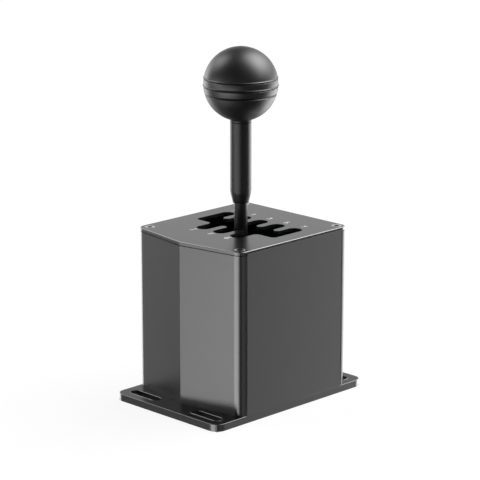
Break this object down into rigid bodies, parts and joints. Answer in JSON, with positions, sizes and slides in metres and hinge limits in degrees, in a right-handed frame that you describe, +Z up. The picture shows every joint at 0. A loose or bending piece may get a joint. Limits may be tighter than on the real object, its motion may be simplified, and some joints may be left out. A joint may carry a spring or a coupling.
{
  "type": "sim racing gear shifter",
  "caption": "Desk-mounted H-pattern gear shifter: ball knob on a lever through a slotted gate plate, on a flat-sided housing with a flanged, slotted base plate.",
  "frame": {"origin": "on the ground under the middle of the base plate", "axes": "+Z up along the upright lever, +X to the driver's right, +Y away from the driver"},
  "size_m": [0.1, 0.144, 0.2438],
  "materials": {
    "black_anodised": "satin black anodised",
    "black_steel": "satin black powder coat",
    "lever_black": "semi-gloss black oxide",
    "knob_black": "satin black anodised",
    "black_screw": "black oxide",
    "plain_aluminium": "milled",
    "bright_steel": "ground",
    "spring_steel": "drawn wire",
    "bronze": "sintered",
    "circuit_board": "solder mask",
    "socket_plastic": "moulded"
  },
  "bodies": {
    "housing": {"base_plate": "black_steel", "front_cover": "black_anodised", "rear_cover": "black_anodised", "side_panel_left": "black_anodised", "side_panel_right": "black_anodised", "gate_plate": "black_anodised", "corner_post_1": "plain_aluminium", "corner_post_2": "plain_aluminium", "corner_post_3": "plain_aluminium", "corner_post_4": "plain_aluminium", "gate_screw_1": "black_screw", "gate_screw_2": "black_screw", "gate_screw_3": "black_screw", "gate_screw_4": "black_screw", "base_screw_1": "black_screw", "base_screw_2": "black_screw", "base_screw_3": "black_screw", "base_screw_4": "black_screw", "pivot_bracket_front": "plain_aluminium", "pivot_bracket_rear": "plain_aluminium", "roll_bush_front": "bronze", "roll_bush_rear": "bronze", "bracket_screw_1": "bright_steel", "bracket_screw_2": "bright_steel", "bracket_screw_3": "bright_steel", "bracket_screw_4": "bright_steel", "detent_block": "plain_aluminium", "block_screw_front": "bright_steel", "block_screw_rear": "bright_steel", "spring_seat_left": "plain_aluminium", "spring_seat_right": "plain_aluminium", "side_spring_left": "spring_steel", "side_spring_right": "spring_steel", "main_board": "circuit_board", "board_spacer_1": "bright_steel", "board_spacer_2": "bright_steel", "board_spacer_3": "bright_steel", "board_spacer_4": "bright_steel", "data_socket": "socket_plastic", "roll_sensor": "circuit_board"},
    "gimbal": {"gimbal_frame": "plain_aluminium", "roll_pin_front": "bright_steel", "roll_pin_rear": "bright_steel", "roll_magnet": "bright_steel", "axle_bush_left": "bronze", "axle_bush_right": "bronze", "shift_sensor": "circuit_board"},
    "lever": {"lever_hub": "plain_aluminium", "cross_axle": "bright_steel", "shift_magnet": "bright_steel", "lever_rod": "lever_black", "lever_sleeve": "lever_black", "lock_ring": "lever_black", "knob_insert": "bronze", "knob": "knob_black", "detent_tube": "bright_steel", "detent_spring": "spring_steel"},
    "plunger": {"detent_plunger": "bright_steel"}
  },
  "joints": [
    {"name": "select_tilt", "type": "hinge", "parent": "housing", "child": "gimbal", "pos_m": [0, 0.0005, 0.045], "axis": [0, 1, 0], "range_deg": [-12.5, 12.5], "stiffness_Nm_per_rad": 3, "deforming": ["side_spring_left", "side_spring_right"]},
    {"name": "shift_tilt", "type": "hinge", "parent": "gimbal", "child": "lever", "pos_m": [0, 0.0005, 0.045], "axis": [1, 0, 0], "range_deg": [-13.9, 13.9]},
    {"name": "plunger_slide", "type": "slide", "parent": "lever", "child": "plunger", "axis": [0, 0, -1], "range_m": [0, 0.0015], "deforming": ["detent_spring"]}
  ]
}
